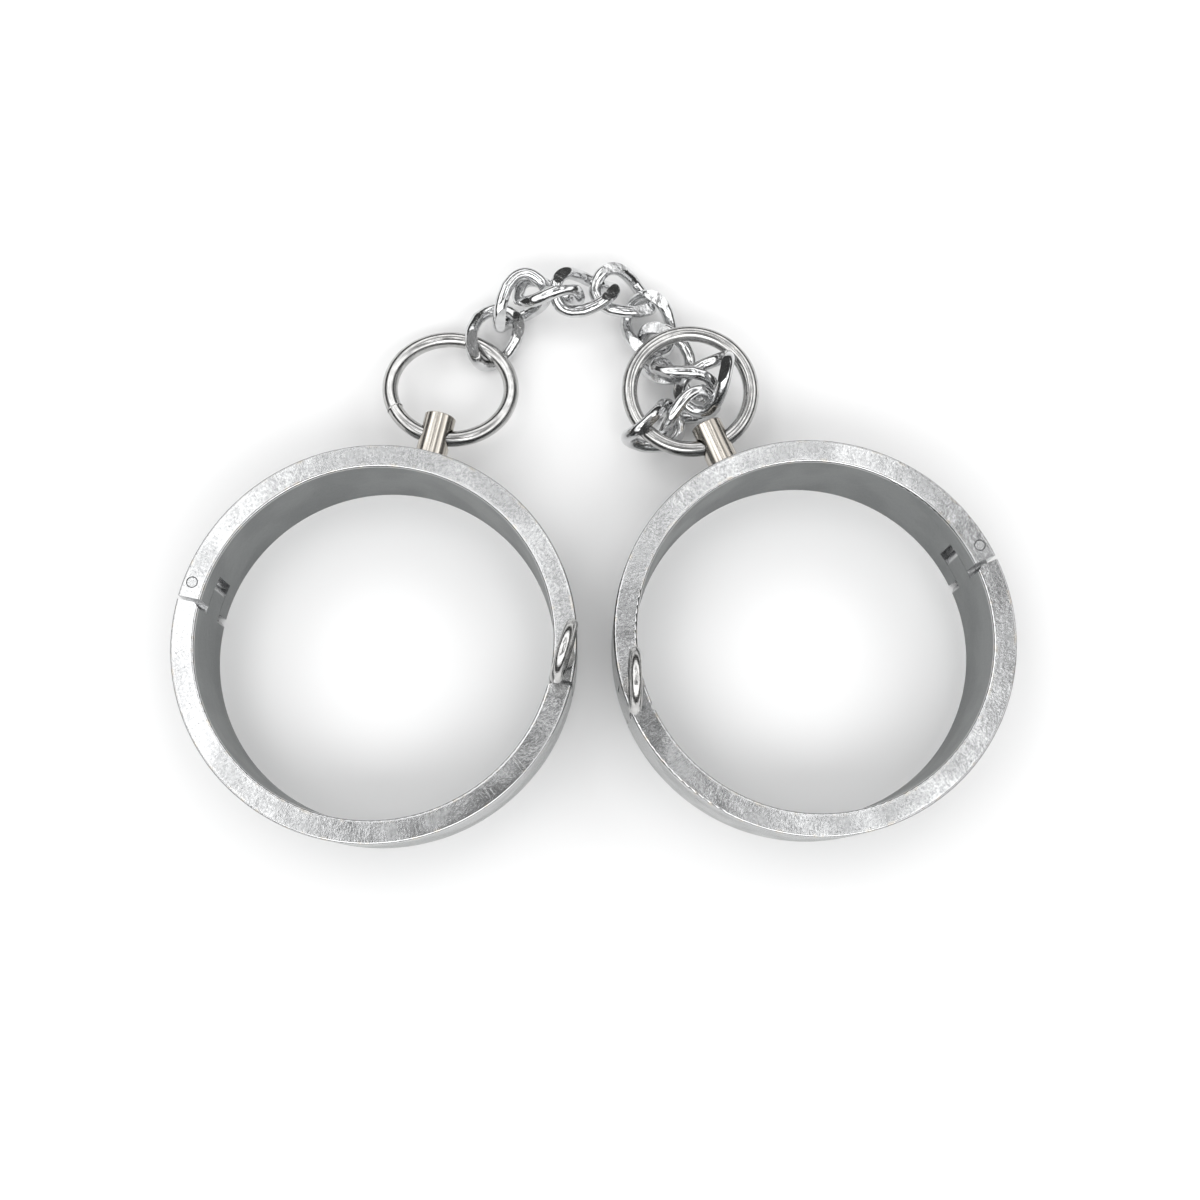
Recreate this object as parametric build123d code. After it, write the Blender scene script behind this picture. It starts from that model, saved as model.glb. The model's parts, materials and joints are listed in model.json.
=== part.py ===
"""A pair of round hinged handcuffs joined by a curb chain.

Each cuff is two half-round arms of square-edged bar. The arms meet in fork and tongue
joints: a riveted pin makes the outer one a hinge, and an eye screw locks the inner one.
A turned post on each upper arm carries a welded ring, and the chain joins the two rings.

The frame has +Z up. The cuffs lie flat with their axes vertical and their centres on a
line along X, and the bounding box stands on z = 0 with its middle over the origin.
All lengths are in millimetres and all angles in degrees.
"""
import os
from math import copysign, cos, pi, radians, sin

from build123d import *

# Cuff: a round band cut into an upper and a lower arm
BORE_R = 30.0          # inside radius, for a wrist
WALL = 4.0             # radial thickness of the bar
HEIGHT = 18.0          # height of the bar along the cuff's axis
EDGE_R = 0.45          # rounding of the four circular edges
OUT_R = BORE_R + WALL
SPACING = 74.1         # distance between the two cuffs' axes

# Fork and tongue, the same at the hinge and at the lock
EAR_H = 5.4            # height of each fork ear
TONGUE_PLAY = 0.1      # gap above and below the tongue
EAR_END = 0.1          # the ears end this far from the parting line
SHOULDER = 0.55        # the lower arm starts this far on the other side of it
SLOT_END = 5.5         # depth of the fork's slot from the parting line
TONGUE_END = 5.2       # reach of the lock tongue
LEAD_IN = 0.9          # chamfer on the inner corner of the lower arm's shoulders

# Hinge pin, pressed in the ears and running in the tongue
PIN_D = 2.0
PIN_R = 32.3           # distance of the pin from the cuff's axis
PIN_Y = 2.7            # distance of the pin from the parting line
PIN_PLAY = 0.05        # radial running clearance in the tongue
KNUCKLE_R = 2.35       # rounding of the tongue around the pin

# Ring post, pressed in a blind hole half way up the bar
POST_D = 5.6
POST_END = 43.2        # distance of the post's end from the cuff's axis
POST_SEAT = 33.6       # depth of the spot face it stands on
SPIGOT_D = 3.6
SPIGOT_END = 31.6
CROSS_HOLE_D = 3.7
CROSS_HOLE_AT = 39.3

# Big rings
RING_R = 11.0          # radius of the wire's centre line
RING_WIRE = 2.8
RING_SWING_R = 10.82   # hinge line to ring centre, so the curved wire sits mid-hole
LEFT_RING_TILT = 15.5  # resting slope down to the chain's first link
RIGHT_RING_TILT = 0.0  # the heap of links holds this ring level

# Lock screw with an eye head
SCREW_R = 32.1
SCREW_Y = 3.6
THREAD_D = 2.5
THREAD_PLAY = 0.05
DOG_D = 1.6
DOG_L = 1.6
DOG_HOLE_D = 2.0
DOG_HOLE_DEPTH = 2.6
BACKED_OFF = 1.6       # how far the screw is undone in the resting pose
COLLAR_D = 3.6
COLLAR_H = 0.8
EYE_R = 4.5            # radius of the eye's centre line
EYE_WIRE = 2.0

# Chain link: a twisted oval of round wire with flats ground on both faces
LINK_L = 13.6
LINK_W = 10.4
LINK_WIRE = 2.3
LINK_TWIST = -40.0     # turn of each end about the link's long axis
LINK_FLAT = 2.05       # the flats are this far from the middle plane
OVAL_POWER = 0.82      # below 1 the oval is squarer than an ellipse

# Where the cuffs and the loose pieces lie
LEFT_TURN, RIGHT_TURN = -13.4, 22.4
LEFT_EYE, RIGHT_EYE = 86.0, 113.0

# Each link as it rests: centre x, y, z, then heading, pitch and roll
LINKS = [
    (-18.0, 59.5, 3.5, 60, 0, 20),
    (-13.0, 65.0, 6.0, 45, 30, 60),
    (-7.5, 66.0, 8.0, -10, 10, -55),
    (-1.0, 66.5, 7.5, 15, -20, -15),
    (6.5, 67.0, 5.0, -20, -20, -15),
    (11.0, 61.0, 4.0, -75, -5, 5),
    (13.5, 55.0, 4.5, -50, 10, 20),
    (17.0, 49.5, 7.0, -30, 0, 95),
    (21.0, 47.5, 10.5, -135, -25, 30),
    (17.0, 43.0, 6.5, -155, -25, 95),
    (11.5, 40.0, 7.5, -155, 30, -60),
]


def box(x0, x1, y0, y1, z0, z1):
    """An axis-aligned block between two corners."""
    return Pos((x0 + x1) / 2, (y0 + y1) / 2, (z0 + z1) / 2) * Box(x1 - x0, y1 - y0, z1 - z0)


def rod(d, z0, z1):
    """A round bar along Z."""
    return Pos(0, 0, (z0 + z1) / 2) * Cylinder(d / 2, z1 - z0)


def band():
    """The whole round band with its circular edges rounded."""
    ring = rod(2 * OUT_R, 0, HEIGHT) - rod(2 * BORE_R, 0, HEIGHT)
    return fillet(ring.edges().filter_by(GeomType.CIRCLE), EDGE_R)


def upper_arm():
    """Half band with a fork at each end, drilled for the pin, the post and the screw."""
    far = OUT_R + 1
    arm = band() & box(-far, far, EAR_END, far, 0, HEIGHT)
    for side in (-1, 1):
        inner, outer = sorted((side * (BORE_R - 5), side * far))
        arm -= box(inner, outer, -1, SLOT_END, EAR_H, HEIGHT - EAR_H)
    arm -= Pos(*pin_xy()) * rod(PIN_D, 0, HEIGHT)
    arm -= Pos(*screw_xy()) * rod(THREAD_D, EAR_H + 1, HEIGHT)
    arm -= radial() * rod(POST_D, POST_SEAT, far)
    arm -= radial() * rod(SPIGOT_D, SPIGOT_END, far)
    return arm


def lower_arm():
    """Half band with a tongue at each end that fills the upper arm's forks."""
    far = OUT_R + 1
    arm = band() & box(-far, far, -far, -SHOULDER, 0, HEIGHT)
    for side in (-1, 1):
        corner = Pos(side * (BORE_R - 0.1), -SHOULDER, HEIGHT / 2) * Rot(0, 0, 45)
        arm -= corner * Box(LEAD_IN * 2 ** 0.5, LEAD_IN * 2 ** 0.5, HEIGHT)
    low, high = EAR_H + TONGUE_PLAY, HEIGHT - EAR_H - TONGUE_PLAY
    plain = rod(2 * OUT_R, low, high) - rod(2 * BORE_R, low, high)
    pin = Pos(*pin_xy())
    arm += plain & box(-far, 0, -SHOULDER - 1.5, PIN_Y, low, high)
    arm += plain & pin * rod(2 * KNUCKLE_R, low, high)
    arm += plain & box(0, far, -SHOULDER - 1.5, TONGUE_END, low, high)
    arm -= pin * rod(PIN_D + 2 * PIN_PLAY, low, high)
    arm -= Pos(*screw_xy()) * rod(DOG_HOLE_D, high - DOG_HOLE_DEPTH, high)
    return arm


def pin_xy():
    """Middle of the hinge pin in a cuff whose hinge is on its -X side."""
    return -(PIN_R ** 2 - PIN_Y ** 2) ** 0.5, PIN_Y


def screw_xy():
    """Middle of the lock screw in a cuff whose lock is on its +X side."""
    return (SCREW_R ** 2 - SCREW_Y ** 2) ** 0.5, SCREW_Y


def radial():
    """Turns something along +Z into something along +Y at half the cuff's height."""
    return Pos(0, 0, HEIGHT / 2) * Rot(-90, 0, 0)


def hinge_pin():
    """Headless pin as long as the bar is high, its ends broken so that they show."""
    pin = rod(PIN_D, 0, HEIGHT)
    return Pos(*pin_xy()) * chamfer(pin.edges().filter_by(GeomType.CIRCLE), 0.2)


def ring_post():
    """Turned post with a spigot below and a cross hole for the ring."""
    post = rod(POST_D, POST_SEAT, POST_END) + rod(SPIGOT_D, SPIGOT_END, POST_SEAT)
    post = chamfer(post.edges().group_by(Axis.Z)[-1], 0.2)
    hole = Pos(0, 0, CROSS_HOLE_AT) * Rot(0, 90, 0) * Cylinder(CROSS_HOLE_D / 2, 2 * POST_D)
    return radial() * (post - hole)


def ring(tilt):
    """Round wire ring through the post, its far side lowered by tilt."""
    hinge_line = Pos(0, CROSS_HOLE_AT, HEIGHT / 2) * Rot(-tilt, 0, 0)
    return hinge_line * Pos(0, RING_SWING_R, 0) * Torus(RING_R, RING_WIRE / 2)


def lock_screw(turn):
    """Grub-pointed screw under an eye, with its eye's plane turned to a heading."""
    tip = HEIGHT - EAR_H + 0.1
    seat = HEIGHT + BACKED_OFF
    middle = seat + COLLAR_H + EYE_R + EYE_WIRE / 2 - 0.2
    screw = rod(DOG_D, tip, tip + DOG_L)
    screw += rod(THREAD_D - 2 * THREAD_PLAY, tip + DOG_L, seat)
    screw += rod(COLLAR_D, seat, seat + COLLAR_H)
    screw = chamfer(screw.edges().filter_by(GeomType.CIRCLE).group_by(Axis.Z)[0], 0.3)
    eye = Pos(0, 0, middle) * Rot(0, 0, turn) * Rot(90, 0, 0) * Torus(EYE_R, EYE_WIRE / 2)
    return Pos(*screw_xy()) * (screw + eye)


def link_point(turn):
    """Point on the centre line of the twisted oval, as turn goes round the link."""
    half_l, half_w = (LINK_L - LINK_WIRE) / 2, (LINK_W - LINK_WIRE) / 2
    along = copysign(abs(cos(turn)) ** OVAL_POWER, cos(turn))
    across = half_w * copysign(abs(sin(turn)) ** OVAL_POWER, sin(turn))
    twist = radians(LINK_TWIST) * along
    return half_l * along, across * cos(twist), across * sin(twist)


def chain_link():
    """One link along X with its flats facing +Z and -Z, swept as two equal halves."""
    steps = 12
    points = [Vector(*link_point(pi * i / steps - pi / 2)) for i in range(steps + 1)]
    run, rise = LINK_L - LINK_WIRE, radians(LINK_TWIST) * (LINK_W - LINK_WIRE)
    ends = [Vector(run, 0, -rise), Vector(-run, 0, -rise)]
    path = Wire([Edge.make_spline(points, tangents=ends)])
    half = sweep(Plane(path @ 0, z_dir=path % 0) * Circle(LINK_WIRE / 2), path=path)
    return (half + Rot(0, 0, 180) * half) & Box(2 * LINK_L, 2 * LINK_W, 2 * LINK_FLAT)


def link_place(x, y, z, heading, pitch, roll):
    """Where a link rests: rolled about its length, pitched up, then turned to its heading."""
    return Pos(x, y, z) * Rot(0, 0, heading) * Rot(0, -pitch, 0) * Rot(roll, 0, 0)


def cuff_place(side):
    """Where the cuff on that side rests."""
    if side == "left":
        return Pos(-SPACING / 2, 0, 0) * Rot(0, 0, LEFT_TURN)
    return Pos(SPACING / 2, 0, 0) * Rot(0, 0, RIGHT_TURN)


def cuff(side):
    """All the pieces of one cuff where they rest. The right cuff is a mirrored left one."""
    left = side == "left"
    pieces = {
        "upper_arm": upper_arm(),
        "lower_arm": lower_arm(),
        "hinge_pin": hinge_pin(),
        "ring_post": ring_post(),
        "ring": ring(LEFT_RING_TILT if left else RIGHT_RING_TILT),
        "lock_screw": lock_screw(LEFT_EYE if left else RIGHT_EYE),
    }
    if not left:
        pieces = {name: mirror(piece, about=Plane.YZ) for name, piece in pieces.items()}
    return {f"{side}_{name}": cuff_place(side) * piece for name, piece in pieces.items()}


def assembly():
    """Every piece by name, before the whole is moved over the origin."""
    parts = {**cuff("left"), **cuff("right")}
    link = chain_link()
    for number, pose in enumerate(LINKS, 1):
        parts[f"chain_link_{number:02d}"] = link_place(*pose) * link
    return parts


def to_origin(parts):
    """The move that stands the whole on z = 0 with its middle over the origin."""
    bounds = Compound(list(parts.values())).bounding_box()
    middle = bounds.center()
    return Pos(-middle.X, -middle.Y, -bounds.min.Z)


def main():
    parts = assembly()
    move = to_origin(parts)
    os.makedirs("parts", exist_ok=True)
    for name, piece in parts.items():
        export_step(move * piece, f"parts/{name}.step")


if __name__ == "__main__":
    main()
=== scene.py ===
"""Looks of a pair of chained round handcuffs: camera, light, floor, plated and polished metal.

Everything is in metres in the frame of the CAD model. Texture sizes are in millimetres.
"""
import json
from math import cos, pi, radians, sin

import bpy
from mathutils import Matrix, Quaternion, Vector

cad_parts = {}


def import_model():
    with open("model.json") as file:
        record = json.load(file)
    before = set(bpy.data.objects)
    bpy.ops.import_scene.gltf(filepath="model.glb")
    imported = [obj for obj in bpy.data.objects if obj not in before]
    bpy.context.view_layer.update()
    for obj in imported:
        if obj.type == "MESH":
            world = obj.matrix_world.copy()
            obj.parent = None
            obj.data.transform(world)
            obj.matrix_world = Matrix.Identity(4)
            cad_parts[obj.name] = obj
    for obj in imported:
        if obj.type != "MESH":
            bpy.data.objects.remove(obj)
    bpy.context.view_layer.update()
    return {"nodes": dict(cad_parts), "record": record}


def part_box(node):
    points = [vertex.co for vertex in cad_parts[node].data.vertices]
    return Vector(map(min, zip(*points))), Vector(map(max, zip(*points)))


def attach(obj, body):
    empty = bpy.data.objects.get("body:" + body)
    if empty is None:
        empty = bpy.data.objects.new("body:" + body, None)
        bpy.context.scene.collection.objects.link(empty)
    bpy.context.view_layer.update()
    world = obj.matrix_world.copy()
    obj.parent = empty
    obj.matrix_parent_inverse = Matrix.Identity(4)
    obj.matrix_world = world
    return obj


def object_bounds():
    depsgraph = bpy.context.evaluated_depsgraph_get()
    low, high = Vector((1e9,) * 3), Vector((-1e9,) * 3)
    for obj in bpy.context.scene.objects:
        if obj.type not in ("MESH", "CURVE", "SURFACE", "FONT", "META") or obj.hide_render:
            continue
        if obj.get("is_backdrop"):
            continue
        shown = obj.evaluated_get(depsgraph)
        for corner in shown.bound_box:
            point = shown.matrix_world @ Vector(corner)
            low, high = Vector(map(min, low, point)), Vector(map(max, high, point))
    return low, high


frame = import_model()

# Camera, measured from the point on the floor midway between the two cuffs
EYE = Vector((-0.00281, -0.04210, 0.25000))
AIM = Vector((0.00116, 0.00984, 0.0))
ROLL = radians(3.53)
LENS_MM, SENSOR_MM = 42.2, 36.0

# Cuff bar, as in the design: radius of its bore and of its outside, and its height
BORE_MM, OUTSIDE_MM, HEIGHT_MM = 30.0, 34.0, 18.0
BAR_MM = (BORE_MM + OUTSIDE_MM) / 2

# How far in the bright edge of the bar reaches: there the smudge is cleared, a painted
# highlight along the rounded rims
EDGE_MM = 0.6

# Big ring, as in the design: radius at the middle of the wire, radius of the wire
RING_MM, WIRE_MM = 11.0, 1.4

# Where each ring is welded: angle about Z, from +X, seen from the ring's middle
WELD_AT = {"left": radians(206.6), "right": radians(219.4)}

# Weld bead: radius of its section, points round the section, sections round the wire
BEAD_MM, BEAD_POINTS, BEAD_SECTIONS = 0.14, 8, 64

# Base colours of the finishes
PLATE = (0.58, 0.585, 0.59, 1)
PLATE_SMUDGED = (0.33, 0.335, 0.34, 1)
# dark grey: the dull tone of pits and grit, and painted shade on the bar's bore and outer wall
PLATE_DULL_AND_SHADE = (0.20, 0.21, 0.21, 1)
PLATE_WARM = (0.62, 0.57, 0.49, 1)
POLISHED = (0.60, 0.595, 0.585, 1)
POLISHED_DARK = (0.34, 0.34, 0.34, 1)
CHAIN = (0.68, 0.685, 0.69, 1)
TURNED = (0.72, 0.68, 0.62, 1)
# darker bands of the streaks along the post: painted reflection
TURNED_REFLECTION_DARK = (0.40, 0.37, 0.33, 1)

# Light of the room, from the horizon up to the zenith: sine of the elevation, grey
SKY = ((0.0, 0.02), (0.40, 0.04), (0.54, 1.0), (0.70, 1.05), (0.83, 0.16), (1.0, 0.10))
SKY_STRENGTH = 1.9

# Lamps: how far from midway, how wide along X and Y, how bright the face looks
LAMP_HEIGHT = 0.6
LAMPS = {
    "left": ((-0.26, 0.08), (0.20, 0.40), 2.2),
    "middle": ((-0.045, 0.17), (0.08, 0.20), 2.0),
    "back": ((0.13, 0.21), (0.14, 0.16), 2.2),
    "right": ((0.18, 0.0), (0.13, 0.20), 2.2),
    "front": ((0.0, -0.42), (0.70, 0.30), 2.6),
}

# Floor: side, colour, roughness, mirror shine
FLOOR_SIDE = 4.0
FLOOR_COLOUR, FLOOR_ROUGHNESS, FLOOR_SHINE = (0.95, 0.95, 0.95, 1), 0.65, 0.2

mounts = {m["name"]: m for m in frame["record"]["mounts"]}
CUFF_AT = {s: Vector(mounts[f"{s}_wrist"]["pos_m"]) for s in ("left", "right")}
MIDWAY = (CUFF_AT["left"] + CUFF_AT["right"]) / 2
MIDWAY.z = 0.0


# ---------------------------------------------------------------- material building

class Tree:
    """A metal material under construction. Arguments may be numbers or node outputs."""

    def __init__(self, name):
        self.material = bpy.data.materials.new(name)
        self.material.use_nodes = True
        self.tree = self.material.node_tree
        self.shader = self.tree.nodes["Principled BSDF"]
        self.shader.inputs["Metallic"].default_value = 1.0

    def put(self, socket, value):
        if isinstance(value, bpy.types.NodeSocket):
            self.tree.links.new(value, socket)
        else:
            socket.default_value = value

    def node(self, kind, *values, out=0, **settings):
        made = self.tree.nodes.new("ShaderNode" + kind)
        for key, value in settings.items():
            setattr(made, key, value)
        for socket, value in zip(made.inputs, values):
            if value is not None:
                self.put(socket, value)
        return made.outputs[out]

    def math(self, operation, a, b=0.0):
        return self.node("Math", a, b, operation=operation)

    def vector(self, operation, a, b=(0, 0, 0), out=0):
        return self.node("VectorMath", a, b, operation=operation, out=out)

    def scaled(self, vector, factors):
        return self.vector("MULTIPLY", vector, factors)

    def ramp(self, value, low, high, to_low=0.0, to_high=1.0):
        """Straight line from to_low at low to to_high at high, flat outside."""
        made = self.tree.nodes.new("ShaderNodeMapRange")
        for key, item in zip(("Value", "From Min", "From Max", "To Min", "To Max"),
                             (value, low, high, to_low, to_high)):
            self.put(made.inputs[key], item)
        return made.outputs[0]

    def noise(self, vector, scale, detail=2.0, rough=0.5):
        made = self.tree.nodes.new("ShaderNodeTexNoise")
        for key, item in (("Vector", vector), ("Scale", scale), ("Detail", detail),
                          ("Roughness", rough)):
            self.put(made.inputs[key], item)
        return made.outputs["Fac"]

    def cells(self, vector, scale):
        """How far a point is from the nearest of many scattered points."""
        made = self.tree.nodes.new("ShaderNodeTexVoronoi")
        self.put(made.inputs["Vector"], vector)
        self.put(made.inputs["Scale"], scale)
        return made.outputs["Distance"]

    def blend(self, amount, a, b):
        """Colour a where amount is 0, b where it is 1."""
        made = self.tree.nodes.new("ShaderNodeMix")
        made.data_type = "RGBA"
        self.put(made.inputs[0], amount)
        self.put(made.inputs[6], a)
        self.put(made.inputs[7], b)
        return made.outputs[2]

    def bump(self, height, depth_mm, normal=None):
        """Surface raised by height times depth_mm, on top of an earlier bump."""
        made = self.tree.nodes.new("ShaderNodeBump")
        made.inputs["Strength"].default_value = 1.0
        made.inputs["Distance"].default_value = depth_mm / 1000
        self.put(made.inputs["Height"], height)
        if normal is not None:
            self.put(made.inputs["Normal"], normal)
        return made.outputs["Normal"]

    def place_mm(self, centre=(0, 0, 0), turn=(0, 0, 0)):
        """Position on the piece in millimetres from a centre, in a turned frame."""
        here = self.tree.nodes.new("ShaderNodeTexCoord").outputs["Object"]
        moved = self.vector("SUBTRACT", here, tuple(centre))
        made = self.tree.nodes.new("ShaderNodeMapping")
        made.vector_type = "POINT"
        self.put(made.inputs["Vector"], moved)
        made.inputs["Rotation"].default_value = turn
        made.inputs["Scale"].default_value = (1000, 1000, 1000)
        return made.outputs[0]

    def around(self, place, radius):
        """Splits a place into its distance from the Z axis, the nearest point of a circle
        about that axis, and its height."""
        flat = self.scaled(place, (1, 1, 0))
        distance = self.vector("LENGTH", flat, out=1)
        circle = self.scaled(self.vector("NORMALIZE", flat), (radius, radius, 0))
        height = self.node("SeparateXYZ", place, out=2)
        return distance, circle, height

    def finish(self, colour, roughness, normal):
        self.put(self.shader.inputs["Base Color"], colour)
        self.put(self.shader.inputs["Roughness"], roughness)
        self.put(self.shader.inputs["Normal"], normal)
        return self.material


def scratches(tree, place, heading, spacing, length, keep):
    """Thin long scratches with one heading: 1 on a scratch, 0 elsewhere. Keep sets how much of
    the piece has them."""
    turned = tree.tree.nodes.new("ShaderNodeVectorRotate")
    turned.rotation_type = "Z_AXIS"
    tree.put(turned.inputs["Vector"], place)
    turned.inputs["Angle"].default_value = heading
    stretched = tree.scaled(turned.outputs[0], (1 / length, 1 / spacing, 1 / length))
    wavy = tree.noise(stretched, 1.0, detail=1.0)
    from_line = tree.math("ABSOLUTE", tree.math("SUBTRACT", wavy, 0.5))
    line = tree.ramp(from_line, 0.0, 0.012, 1.0, 0.0)
    patch = tree.ramp(tree.noise(place, 0.12, detail=2.0), 1 - keep - 0.03, 1 - keep + 0.03)
    return tree.math("MULTIPLY", line, patch)


def arm_plate(side):
    """Plated bar: pebbled, smudged and lightly brushed, with painted shade darkening the bore
    and the outer wall, and edges kept clear of smudge as a painted highlight.
    """
    t = Tree(f"{side}_arm_plate")
    place = t.place_mm((CUFF_AT[side].x, CUFF_AT[side].y, 0))
    distance, circle, height = t.around(place, BAR_MM)
    # how far a point is from the nearest of the four circular edges
    from_bore = t.math("ABSOLUTE", t.math("SUBTRACT", distance, BORE_MM))
    from_outside = t.math("ABSOLUTE", t.math("SUBTRACT", distance, OUTSIDE_MM))
    from_rim = t.math("MINIMUM", from_bore, from_outside)
    from_top = t.math("ABSOLUTE", t.math("SUBTRACT", height, HEIGHT_MM))
    from_face = t.math("MINIMUM", t.math("ABSOLUTE", height), from_top)
    from_edge = t.math("MAXIMUM", from_rim, from_face)
    edge = t.ramp(from_edge, EDGE_MM * 0.6, EDGE_MM * 1.3, 1.0, 0.0)
    # 1 on the flat part of a wall, 0 on its rounded edges
    wall = t.ramp(from_face, 0.35, 0.6)
    bore = t.math("MULTIPLY", t.ramp(distance, BORE_MM + 0.02, BORE_MM + 0.12, 1.0, 0.0), wall)
    outside = t.math("MULTIPLY", t.ramp(distance, OUTSIDE_MM - 0.12, OUTSIDE_MM - 0.02), wall)
    # brushing runs across the faces and up the walls
    along_grain = t.math("MULTIPLY", t.math("ADD", distance, height), 0.16)
    across = t.node("CombineXYZ", 0.0, 0.0, along_grain)
    grain_at = t.vector("ADD", circle, across)
    grain = t.noise(grain_at, 5.5, detail=3.0, rough=0.6)
    pebble = t.noise(place, 2.6, detail=3.0, rough=0.62)
    swell = t.noise(place, 0.35, detail=2.0)
    patchy = t.ramp(t.noise(place, 0.09, detail=2.0), 0.42, 0.58)
    marks = t.math("MAXIMUM", scratches(t, place, 0.9, 0.55, 9.0, 0.36),
                   scratches(t, place, -0.4, 0.8, 14.0, 0.30))
    pits = t.ramp(t.cells(place, 0.8), 0.05, 0.10, 1.0, 0.0)
    stain = t.math("MULTIPLY", t.ramp(t.noise(place, 0.5, detail=4.0), 0.54, 0.66), edge)
    smudge = t.ramp(t.noise(place, 1.9, detail=5.0, rough=0.75), 0.42, 0.60, 0.0, 0.60)
    # painted highlight: the smudge is cleared along the rounded edges, so they keep the bright
    # plate colour
    smudge = t.math("MULTIPLY", smudge, t.math("SUBTRACT", 1.0, edge))
    colour = t.blend(smudge, PLATE, PLATE_SMUDGED)
    # painted shade: the bore and the outer wall are darkened towards the dark grey, standing
    # in for the shadowed floor they reflect
    colour = t.blend(t.math("MULTIPLY", bore, 0.9), colour, PLATE_DULL_AND_SHADE)
    colour = t.blend(t.math("MULTIPLY", outside, 0.75), colour, PLATE_DULL_AND_SHADE)
    colour = t.blend(t.math("MULTIPLY", stain, 0.55), colour, PLATE_WARM)
    colour = t.blend(t.math("MULTIPLY", pits, 0.5), colour, PLATE_DULL_AND_SHADE)
    worn = t.math("ADD", t.math("MULTIPLY", grain, 0.5), t.math("MULTIPLY", patchy, 0.5))
    rough = t.ramp(worn, 0.2, 0.8, 0.17, 0.29)
    rough = t.math("ADD", rough, t.math("MULTIPLY", bore, 0.22))
    rough = t.math("SUBTRACT", rough, t.math("MULTIPLY", edge, 0.06))
    normal = t.bump(swell, 0.06)
    normal = t.bump(t.math("MULTIPLY", pebble, t.ramp(patchy, 0, 1, 0.45, 1.0)), 0.035, normal)
    normal = t.bump(grain, 0.012, normal)
    normal = t.bump(t.math("ADD", marks, pits), -0.012, normal)
    return t.finish(colour, rough, normal)


def polished_wire(name, centre, turn):
    """Drawn and polished ring: fine lines along the wire, dark smears, a few nicks."""
    t = Tree(name)
    place = t.place_mm(centre, turn)
    distance, circle, height = t.around(place, RING_MM)
    section = t.node("CombineXYZ", distance, height, 0.0)
    drawn_at = t.vector("ADD", t.scaled(section, (3, 3, 0)), t.scaled(circle, (0.05, 0.05, 0)))
    drawn = t.noise(drawn_at, 2.2, detail=3.0, rough=0.65)
    smear = t.noise(place, 0.55, detail=3.0)
    nick = t.ramp(t.cells(place, 0.55), 0.06, 0.12, 1.0, 0.0)
    mixed = t.math("ADD", t.math("MULTIPLY", drawn, 0.6), t.math("MULTIPLY", smear, 0.4))
    colour = t.blend(t.ramp(mixed, 0.42, 0.66), POLISHED, POLISHED_DARK)
    rough = t.ramp(smear, 0.3, 0.7, 0.14, 0.24)
    normal = t.bump(drawn, 0.0025)
    normal = t.bump(nick, -0.012, normal)
    return t.finish(colour, rough, normal)


def chain_plate():
    """Bright plated links, a little uneven, with duller patches and small warm spots."""
    t = Tree("chain_plate")
    place = t.place_mm()
    uneven = t.noise(place, 0.5, detail=2.0)
    fine = t.noise(place, 3.5, detail=3.0, rough=0.6)
    spots = t.ramp(t.cells(place, 1.1), 0.06, 0.13, 1.0, 0.0)
    colour = t.blend(t.ramp(uneven, 0.45, 0.75, 0.0, 0.5), CHAIN, POLISHED_DARK)
    colour = t.blend(t.math("MULTIPLY", spots, 0.5), colour, PLATE_WARM)
    rough = t.ramp(fine, 0.3, 0.7, 0.06, 0.15)
    normal = t.bump(uneven, 0.10)
    normal = t.bump(fine, 0.010, normal)
    normal = t.bump(spots, -0.012, normal)
    return t.finish(colour, rough, normal)


def turned_post(side):
    """Post turned on a lathe: fine rings round it, a warm tint, and darker streaks along it
    painted as the reflection bands of a polished cylinder.
    """
    t = Tree(f"{side}_post_steel")
    low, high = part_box(f"{side}_ring_post")
    out = (low + high) / 2 - CUFF_AT[side]
    heading = -Vector((0, 1)).angle_signed(Vector((out.x, out.y)))
    place = t.place_mm((low + high) / 2, (0, 0, -heading))
    rings = t.noise(t.scaled(place, (0.25, 6.0, 0.25)), 1.5, detail=3.0, rough=0.6)
    # painted reflection: lighter and darker streaks along the post, like the bands a polished
    # cylinder reflects
    reflection_streaks = t.noise(t.scaled(place, (2.5, 0.12, 2.5)), 0.8, detail=2.0)
    colour = t.blend(t.ramp(reflection_streaks, 0.40, 0.62), TURNED, TURNED_REFLECTION_DARK)
    rough = t.ramp(rings, 0.3, 0.7, 0.16, 0.26)
    normal = t.bump(rings, 0.003)
    return t.finish(colour, rough, normal)


def pin_steel():
    """Pin end ground flush, with a gritty face."""
    t = Tree("pin_steel")
    place = t.place_mm()
    grit = t.noise(place, 5.0, detail=3.0, rough=0.6)
    colour = t.blend(t.ramp(grit, 0.4, 0.7, 0.0, 0.5), PLATE, PLATE_DULL_AND_SHADE)
    return t.finish(colour, t.ramp(grit, 0.3, 0.7, 0.2, 0.34), t.bump(grit, 0.02))


def screw_plate(side):
    """Polished eye screw with uneven plating."""
    t = Tree(f"{side}_screw_plate")
    place = t.place_mm()
    uneven = t.noise(place, 0.6, detail=2.0)
    fine = t.noise(place, 4.0, detail=3.0, rough=0.6)
    colour = t.blend(t.ramp(uneven, 0.45, 0.7, 0.0, 0.6), POLISHED, POLISHED_DARK)
    rough = t.ramp(fine, 0.3, 0.7, 0.12, 0.24)
    normal = t.bump(uneven, 0.05)
    return t.finish(colour, rough, t.bump(fine, 0.012, normal))


# ---------------------------------------------------------------- dressing the CAD nodes

def dress(node, material):
    """Gives a CAD node one material."""
    thing = frame["nodes"][node]
    thing.data.materials.clear()
    thing.data.materials.append(material)


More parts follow.
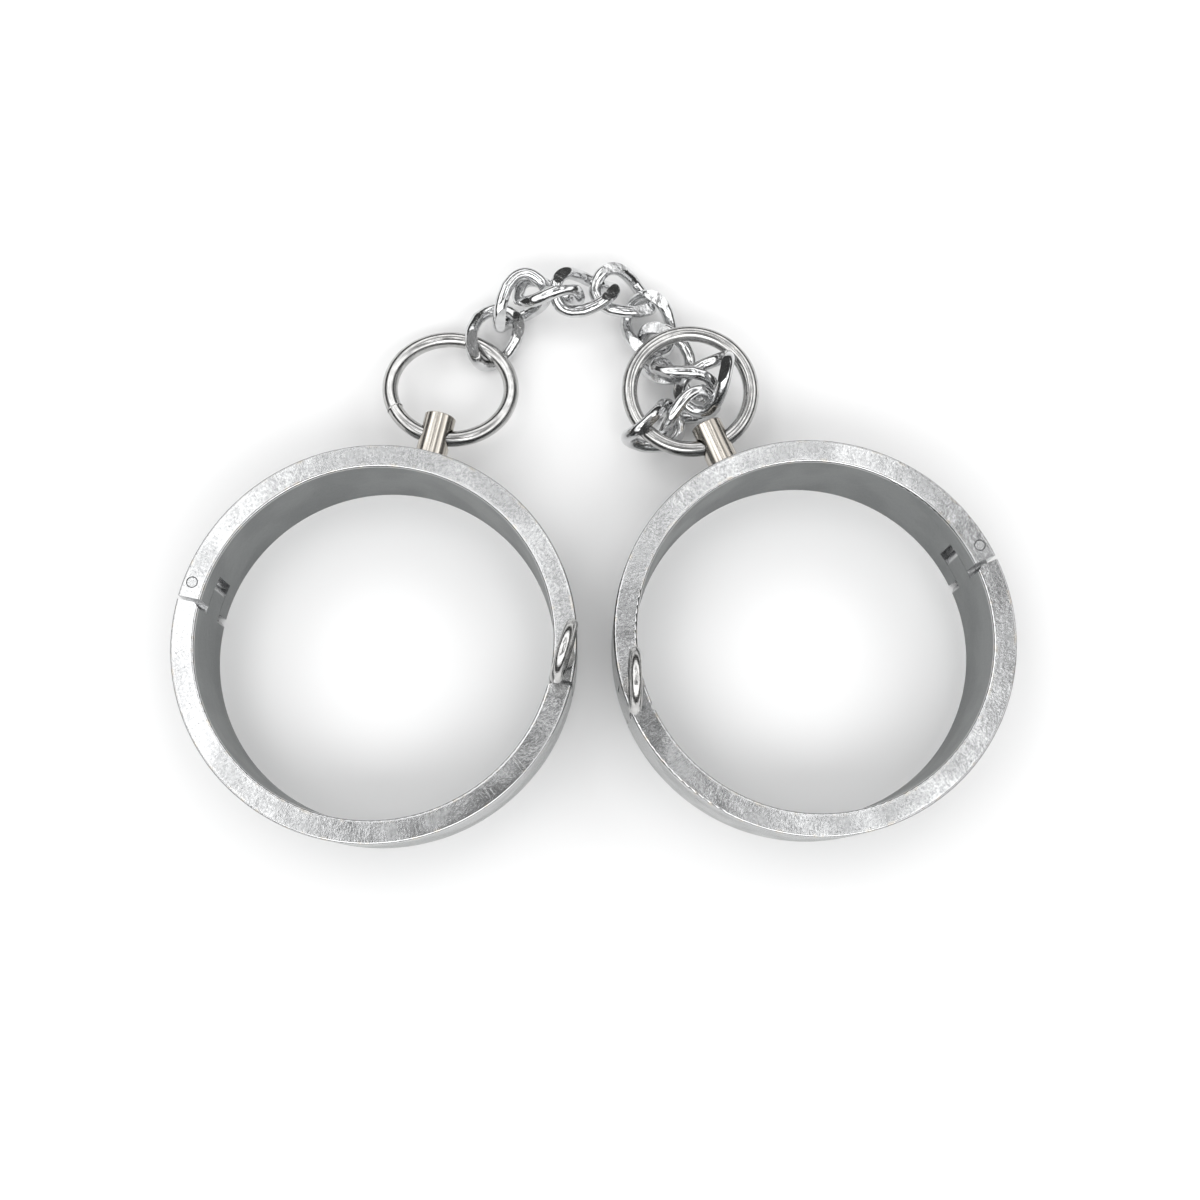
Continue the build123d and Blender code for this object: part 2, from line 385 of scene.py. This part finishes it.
def dress_all():
    """Gives each CAD node its finish, and each big ring its weld."""
    chain = chain_plate()
    pin = pin_steel()
    tilt = Vector(mounts["left_ring_loop"]["axis"])
    # the left ring's finish lies in the tilted ring, and the right ring is level
    left_turn = tilt.rotation_difference(Vector((0, 0, 1))).to_euler()
    ring_turn = {"left": left_turn, "right": (0, 0, 0)}
    for side in ("left", "right"):
        plate = arm_plate(side)
        dress(f"{side}_upper_arm", plate)
        dress(f"{side}_lower_arm", plate)
        dress(f"{side}_hinge_pin", pin)
        dress(f"{side}_ring_post", turned_post(side))
        dress(f"{side}_lock_screw", screw_plate(side))
        low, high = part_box(f"{side}_ring")
        ring = polished_wire(f"{side}_ring_steel", (low + high) / 2, ring_turn[side])
        dress(f"{side}_ring", ring)
        weld(side, ring)
    for node in frame["nodes"]:
        if node.startswith("chain_link"):
            dress(node, chain)


# ---------------------------------------------------------------- small pieces

def weld(side, finish):
    """The seam where a ring's wire was closed: a thin uneven bead round the wire, in the
    ring's own finish."""
    low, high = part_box(f"{side}_ring")
    middle = (low + high) / 2
    axis = Vector(mounts["left_ring_loop"]["axis"]) if side == "left" else Vector((0, 0, 1))
    out = Vector((cos(WELD_AT[side]), sin(WELD_AT[side]), 0))
    out = (out - axis * out.dot(axis)).normalized()
    along = axis.cross(out)
    centre = middle + out * RING_MM / 1000
    points, faces = [], []
    for i in range(BEAD_SECTIONS):
        a = 2 * pi * i / BEAD_SECTIONS
        spoke = out * cos(a) + axis * sin(a)
        bead = BEAD_MM + 0.03 * sin(3 * a) + 0.02 * sin(7 * a + 1)
        drift = 0.09 * sin(2 * a + 0.7)
        here = i * BEAD_POINTS
        ahead = (i + 1) % BEAD_SECTIONS * BEAD_POINTS
        for j in range(BEAD_POINTS):
            b = 2 * pi * j / BEAD_POINTS
            radius = WIRE_MM - 0.02 + bead * cos(b)
            aside = drift + 1.3 * bead * sin(b)
            points.append(centre + (spoke * radius + along * aside) / 1000)
            beside = (j + 1) % BEAD_POINTS
            faces.append((here + j, here + beside, ahead + beside, ahead + j))
    mesh = bpy.data.meshes.new(f"{side}_ring_weld")
    mesh.from_pydata(points, [], faces)
    mesh.shade_smooth()
    mesh.materials.append(finish)
    piece = bpy.data.objects.new(f"{side}_ring_weld", mesh)
    bpy.context.scene.collection.objects.link(piece)
    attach(piece, f"{side}_big_ring")


# ---------------------------------------------------------------- stage

def floor():
    """Plain pale floor under the object."""
    low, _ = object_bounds()
    bpy.ops.mesh.primitive_plane_add(size=FLOOR_SIDE, location=(0, 0, low.z))
    plane = bpy.context.object
    plane.name = "floor"
    material = bpy.data.materials.new("floor")
    material.use_nodes = True
    shader = material.node_tree.nodes["Principled BSDF"]
    shader.inputs["Base Color"].default_value = FLOOR_COLOUR
    shader.inputs["Roughness"].default_value = FLOOR_ROUGHNESS
    shader.inputs["Specular IOR Level"].default_value = FLOOR_SHINE
    plane.data.materials.append(material)
    plane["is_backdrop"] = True


def softbox(name, place, size, glow):
    """A rectangular lamp over the object, facing the floor."""
    data = bpy.data.lights.new(name, "AREA")
    data.shape = "RECTANGLE"
    data.size, data.size_y = size
    data.energy = glow * pi * size[0] * size[1]
    lamp = bpy.data.objects.new(name, data)
    lamp.location = MIDWAY + Vector((*place, LAMP_HEIGHT))
    bpy.context.scene.collection.objects.link(lamp)


def world():
    """Pale tent of light with a dim opening overhead and a dark band along the horizon."""
    made = bpy.data.worlds.new("room")
    made.use_nodes = True
    bpy.context.scene.world = made
    tree = made.node_tree
    background = tree.nodes["Background"]
    where = tree.nodes.new("ShaderNodeTexCoord").outputs["Generated"]
    split = tree.nodes.new("ShaderNodeSeparateXYZ")
    tree.links.new(where, split.inputs[0])
    ramp = tree.nodes.new("ShaderNodeValToRGB")
    tree.links.new(split.outputs["Z"], ramp.inputs[0])
    elements = ramp.color_ramp.elements
    for at, _ in SKY[1:-1]:
        elements.new(at)
    for element, (at, grey) in zip(elements, SKY):
        element.position = at
        element.color = (grey, grey, grey, 1)
    tree.links.new(ramp.outputs[0], background.inputs[0])
    background.inputs[1].default_value = SKY_STRENGTH


def camera():
    """Camera over the front of the cuffs, looking steeply down."""
    data = bpy.data.cameras.new("camera")
    data.sensor_width = SENSOR_MM
    data.lens = LENS_MM
    data.clip_start = 0.01
    made = bpy.data.objects.new("camera", data)
    bpy.context.scene.collection.objects.link(made)
    look = (AIM - EYE).to_track_quat("-Z", "Y")
    made.rotation_mode = "QUATERNION"
    made.rotation_quaternion = look @ Quaternion((0, 0, 1), ROLL)
    made.location = MIDWAY + EYE
    bpy.context.scene.camera = made


dress_all()
camera()
floor()
world()
for name, (place, size, glow) in LAMPS.items():
    softbox(name, place, size, glow)
bpy.context.scene.view_settings.view_transform = "Standard"
